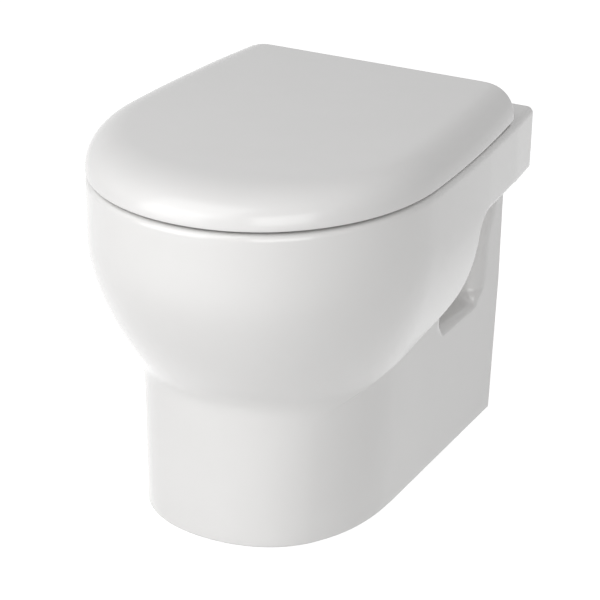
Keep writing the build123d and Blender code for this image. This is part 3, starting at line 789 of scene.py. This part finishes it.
def seatWeb(side):
    # the arm from a seat lug to the ring: a side-view outline between two positions across
    reach, height = hinge["reach"], hinge["height"]
    into = -seat["rear"] - seat["webReach"]
    heelBack, heelDrop = seat["webHeel"]
    outline = np.array([
        (-reach, height + hinge["barrelRadius"]), (into, seat["top"] - 1), (into, seat["bottom"] + 4),
        (-seat["rear"] - 5, seat["bottom"] + 6), (-reach - heelBack, height - heelDrop),
    ])
    near, far = (side * v for v in hinge["seatLug"])
    rings = np.stack([np.concatenate([np.full((5, 1), x), outline], 1) for x in (near, far)])
    return closedSkin("web", rings)


seatRing = seatSkin()
print("seat skin", len(seatRing.data.polygons))
past = 5
for side in (1, -1):
    combine(seatRing, seatWeb(side), "UNION")
    combine(seatRing, hingeRod(hinge["barrelRadius"], hinge["seatLug"], side), "UNION")
    near, far = hinge["seatLug"]
    combine(seatRing, hingeRod(hinge["insertRadius"], (near - past, far + past), side))
print("seat with its hinge", len(seatRing.data.polygons))

for piece, node, body in ((seatLid, "seat_lid", "lid"), (seatRing, "seat_ring", "seat")):
    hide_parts(node)
    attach(piece, body)


# materials

def newMaterial(name):
    material = bpy.data.materials.new(name)
    material.use_nodes = True
    nodes = material.node_tree.nodes
    return material, nodes, material.node_tree.links, nodes["Principled BSDF"]


looks = {
    # tone and shade are the lightest and darkest colour; scale is the cloud noise's, and relief is in metres
    "glazedCeramic": {
        "tone": (0.865, 0.857, 0.847), "shade": (0.848, 0.840, 0.829), "scale": 9, "rough": (0.10, 0.16),
        "relief": 0.0004, "reliefScale": 9, "coat": 0.5, "coatRoughness": 0.05,
    },
    "seatPlastic": {
        "tone": (0.868, 0.860, 0.853), "shade": (0.856, 0.848, 0.840), "scale": 14, "rough": (0.17, 0.24),
        "relief": 0.00003, "reliefScale": 260, "coat": 0.3, "coatRoughness": 0.14,
    },
    "hingeChrome": {
        "tone": (0.80, 0.80, 0.80), "shade": (0.70, 0.70, 0.71), "scale": 40, "rough": (0.06, 0.16),
        "relief": 0.00002, "reliefScale": 320, "metal": 1, "stretch": (1, 1, 0.15),
    },
    "brushedSteel": {
        "tone": (0.62, 0.62, 0.63), "shade": (0.48, 0.48, 0.49), "scale": 60, "rough": (0.26, 0.44),
        "relief": 0.00004, "reliefScale": 700, "metal": 1, "stretch": (0.06, 1, 1),
    },
    "damperPlastic": {
        "tone": (0.50, 0.50, 0.51), "shade": (0.43, 0.43, 0.44), "scale": 90, "rough": (0.38, 0.52),
        "relief": 0.00005, "reliefScale": 900,
    },
    "nylonWhite": {
        "tone": (0.84, 0.835, 0.82), "shade": (0.78, 0.775, 0.755), "scale": 55, "rough": (0.34, 0.48),
        "relief": 0.00005, "reliefScale": 620,
    },
    "blackRubber": {
        "tone": (0.055, 0.055, 0.055), "shade": (0.032, 0.032, 0.033), "scale": 70, "rough": (0.62, 0.82),
        "relief": 0.0001, "reliefScale": 1100,
    },
    "bufferRubber": {
        "tone": (0.74, 0.735, 0.72), "shade": (0.66, 0.655, 0.64), "scale": 70, "rough": (0.5, 0.7),
        "relief": 0.00006, "reliefScale": 900,
    },
}


# parts of the cloud noise's range that the tones and the roughness are spread over
cloudRange = {"tone": (0.32, 0.66), "rough": (0.3, 0.7)}
bumpStrength = 0.3


def lookMaterial(name):
    # two noises on Object coordinates: a wide one mixes the two tones and the roughness,
    # a fine one is the relief of the surface
    look = looks[name]
    material, nodes, links, shader = newMaterial(name)
    shader.inputs["Metallic"].default_value = look.get("metal", 0)
    shader.inputs["Coat Weight"].default_value = look.get("coat", 0)
    shader.inputs["Coat Roughness"].default_value = look.get("coatRoughness", 0.03)
    place = nodes.new("ShaderNodeTexCoord")
    mapping = nodes.new("ShaderNodeMapping")
    mapping.inputs["Scale"].default_value = look.get("stretch", (1, 1, 1))
    links.new(place.outputs["Object"], mapping.inputs["Vector"])
    cloud, grain = nodes.new("ShaderNodeTexNoise"), nodes.new("ShaderNodeTexNoise")
    cloud.inputs["Scale"].default_value, cloud.inputs["Detail"].default_value = look["scale"], 3
    grain.inputs["Scale"].default_value, grain.inputs["Detail"].default_value = look["reliefScale"], 2
    ramp = nodes.new("ShaderNodeValToRGB")
    ramp.color_ramp.elements[0].position, ramp.color_ramp.elements[1].position = cloudRange["tone"]
    ramp.color_ramp.elements[0].color = look["shade"] + (1,)
    ramp.color_ramp.elements[1].color = look["tone"] + (1,)
    spread = nodes.new("ShaderNodeMapRange")
    spread.inputs["From Min"].default_value, spread.inputs["From Max"].default_value = cloudRange["rough"]
    spread.inputs["To Min"].default_value, spread.inputs["To Max"].default_value = look["rough"]
    bump = nodes.new("ShaderNodeBump")
    bump.inputs["Strength"].default_value = bumpStrength
    bump.inputs["Distance"].default_value = look["relief"]
    for noise in (cloud, grain):
        links.new(mapping.outputs["Vector"], noise.inputs["Vector"])
    links.new(cloud.outputs["Fac"], ramp.inputs["Fac"])
    links.new(ramp.outputs["Color"], shader.inputs["Base Color"])
    links.new(cloud.outputs["Fac"], spread.inputs["Value"])
    links.new(spread.outputs["Result"], shader.inputs["Roughness"])
    links.new(grain.outputs["Fac"], bump.inputs["Height"])
    links.new(bump.outputs["Normal"], shader.inputs["Normal"])
    return material


def dress(obj, material):
    # one material on the whole object
    obj.data.materials.clear()
    obj.data.materials.append(material)


made = {name: lookMaterial(name) for name in looks}
dress(panBody, made["glazedCeramic"])
dress(seatLid, made["seatPlastic"])
dress(seatRing, made["seatPlastic"])
nodeLooks = {
    "hingeChrome": ("hinge_base_left", "hinge_base_right"),
    "brushedSteel": (
        "hinge_pin_left", "hinge_pin_right", "hinge_bolts", "wall_studs", "stud_washers", "stud_nuts",
    ),
    "damperPlastic": ("seat_damper", "seat_bush", "lid_damper", "lid_bush"),
    "nylonWhite": ("hinge_wing_nuts", "stud_sleeves", "stud_covers"),
    "blackRubber": ("hinge_gaskets", "hinge_cone_washers"),
    "bufferRubber": ("seat_buffers", "lid_buffers"),
}
for name, dressed in nodeLooks.items():
    for node in dressed:
        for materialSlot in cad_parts[node].material_slots:
            materialSlot.material = made[name]
print("materials", len(made))


# camera, floor and lights

view = {
    "place": (1.0178, -2.2258, 0.8922),
    "forward": (-0.41519, 0.81640, -0.40138),
    "up": (-0.19894, 0.34905, 0.91575),
    "lens": 139.16,
    "floorHeight": -0.320,
}

cameraData = bpy.data.cameras.new("camera")
cameraData.lens = view["lens"]
cameraData.sensor_width = 36
cameraData.clip_end = 50
camera = bpy.data.objects.new("camera", cameraData)
bpy.context.scene.collection.objects.link(camera)
forward = Vector(view["forward"]).normalized()
right = forward.cross(Vector(view["up"])).normalized()
up = right.cross(forward)
turn = Matrix((right, up, -forward)).transposed().to_4x4()
camera.matrix_world = Matrix.Translation(view["place"]) @ turn
bpy.context.scene.camera = camera


def areaLight(name, place, target, size, power):
    data = bpy.data.lights.new(name, "AREA")
    data.shape = "RECTANGLE"
    data.size, data.size_y = size
    data.energy = power
    lamp = bpy.data.objects.new(name, data)
    lamp.location = place
    lamp.rotation_euler = (Vector(target) - Vector(place)).to_track_quat("-Z", "Y").to_euler()
    bpy.context.scene.collection.objects.link(lamp)
    return lamp


# place, size and power of each lamp; all point at the middle of the pan
lamps = {
    "keyLight": ((-1.55, -3.2, 0.85), (2.8, 2.4), 39),
    "sideLight": ((2.3, -2.6, 0.9), (2.2, 2.2), 32),
    "topLight": ((-0.3, -1.25, 1.0), (1.2, 1.2), 6),
}
panMiddle = (0, -0.25, -0.05)
for name, (place, size, power) in lamps.items():
    areaLight(name, place, panMiddle, size, power)

world = bpy.data.worlds.new("studio")
world.use_nodes = True
bpy.context.scene.world = world
worldNodes, worldLinks = world.node_tree.nodes, world.node_tree.links


def backdropFactor(nodes, links):
    # 1 for rays that show the background itself: seen directly, mirrored or through glass
    path = nodes.new("ShaderNodeLightPath")
    first, second = nodes.new("ShaderNodeMath"), nodes.new("ShaderNodeMath")
    first.operation = second.operation = "MAXIMUM"
    links.new(path.outputs["Is Camera Ray"], first.inputs[0])
    links.new(path.outputs["Is Transmission Ray"], first.inputs[1])
    links.new(first.outputs["Value"], second.inputs[0])
    links.new(path.outputs["Is Glossy Ray"], second.inputs[1])
    return second.outputs["Value"]


ambient = worldNodes["Background"]
ambient.inputs["Color"].default_value = (1, 1, 1, 1)
ambient.inputs["Strength"].default_value = 0.26
seen = worldNodes.new("ShaderNodeBackground")
seen.inputs["Color"].default_value = (1, 1, 1, 1)
seen.inputs["Strength"].default_value = 1.0
mix = worldNodes.new("ShaderNodeMixShader")
worldLinks.new(backdropFactor(worldNodes, worldLinks), mix.inputs["Fac"])
worldLinks.new(ambient.outputs["Background"], mix.inputs[1])
worldLinks.new(seen.outputs["Background"], mix.inputs[2])
worldLinks.new(mix.outputs["Shader"], worldNodes["World Output"].inputs["Surface"])

floorLook = {"size": 7.0, "bounce": 0.6, "seenColor": 0.75, "seenGlow": 0.83}
half = floorLook["size"]
turns = ((-1, -1), (1, -1), (1, 1), (-1, 1))
corners = np.array([(half * x, half * y, view["floorHeight"]) for x, y in turns])
floorMesh = bpy.data.meshes.new("floor")
floorMesh.from_pydata(corners.tolist(), [], [[0, 1, 2, 3]])
floor = bpy.data.objects.new("floor", floorMesh)
bpy.context.scene.collection.objects.link(floor)
floorMaterial, nodes, links, shader = newMaterial("paleFloor")
shader.inputs["Base Color"].default_value = (floorLook["bounce"],) * 3 + (1,)
shader.inputs["Roughness"].default_value = 0.9
diffuse = nodes.new("ShaderNodeBsdfDiffuse")
diffuse.inputs["Color"].default_value = (floorLook["seenColor"],) * 3 + (1,)
glow = nodes.new("ShaderNodeEmission")
glow.inputs["Strength"].default_value = floorLook["seenGlow"]
add, mix = nodes.new("ShaderNodeAddShader"), nodes.new("ShaderNodeMixShader")
links.new(diffuse.outputs["BSDF"], add.inputs[0])
links.new(glow.outputs["Emission"], add.inputs[1])
links.new(backdropFactor(nodes, links), mix.inputs["Fac"])
links.new(shader.outputs["BSDF"], mix.inputs[1])
links.new(add.outputs["Shader"], mix.inputs[2])
links.new(mix.outputs["Shader"], nodes["Material Output"].inputs["Surface"])
floorMesh.materials.append(floorMaterial)

bpy.context.scene.view_settings.view_transform = "Standard"
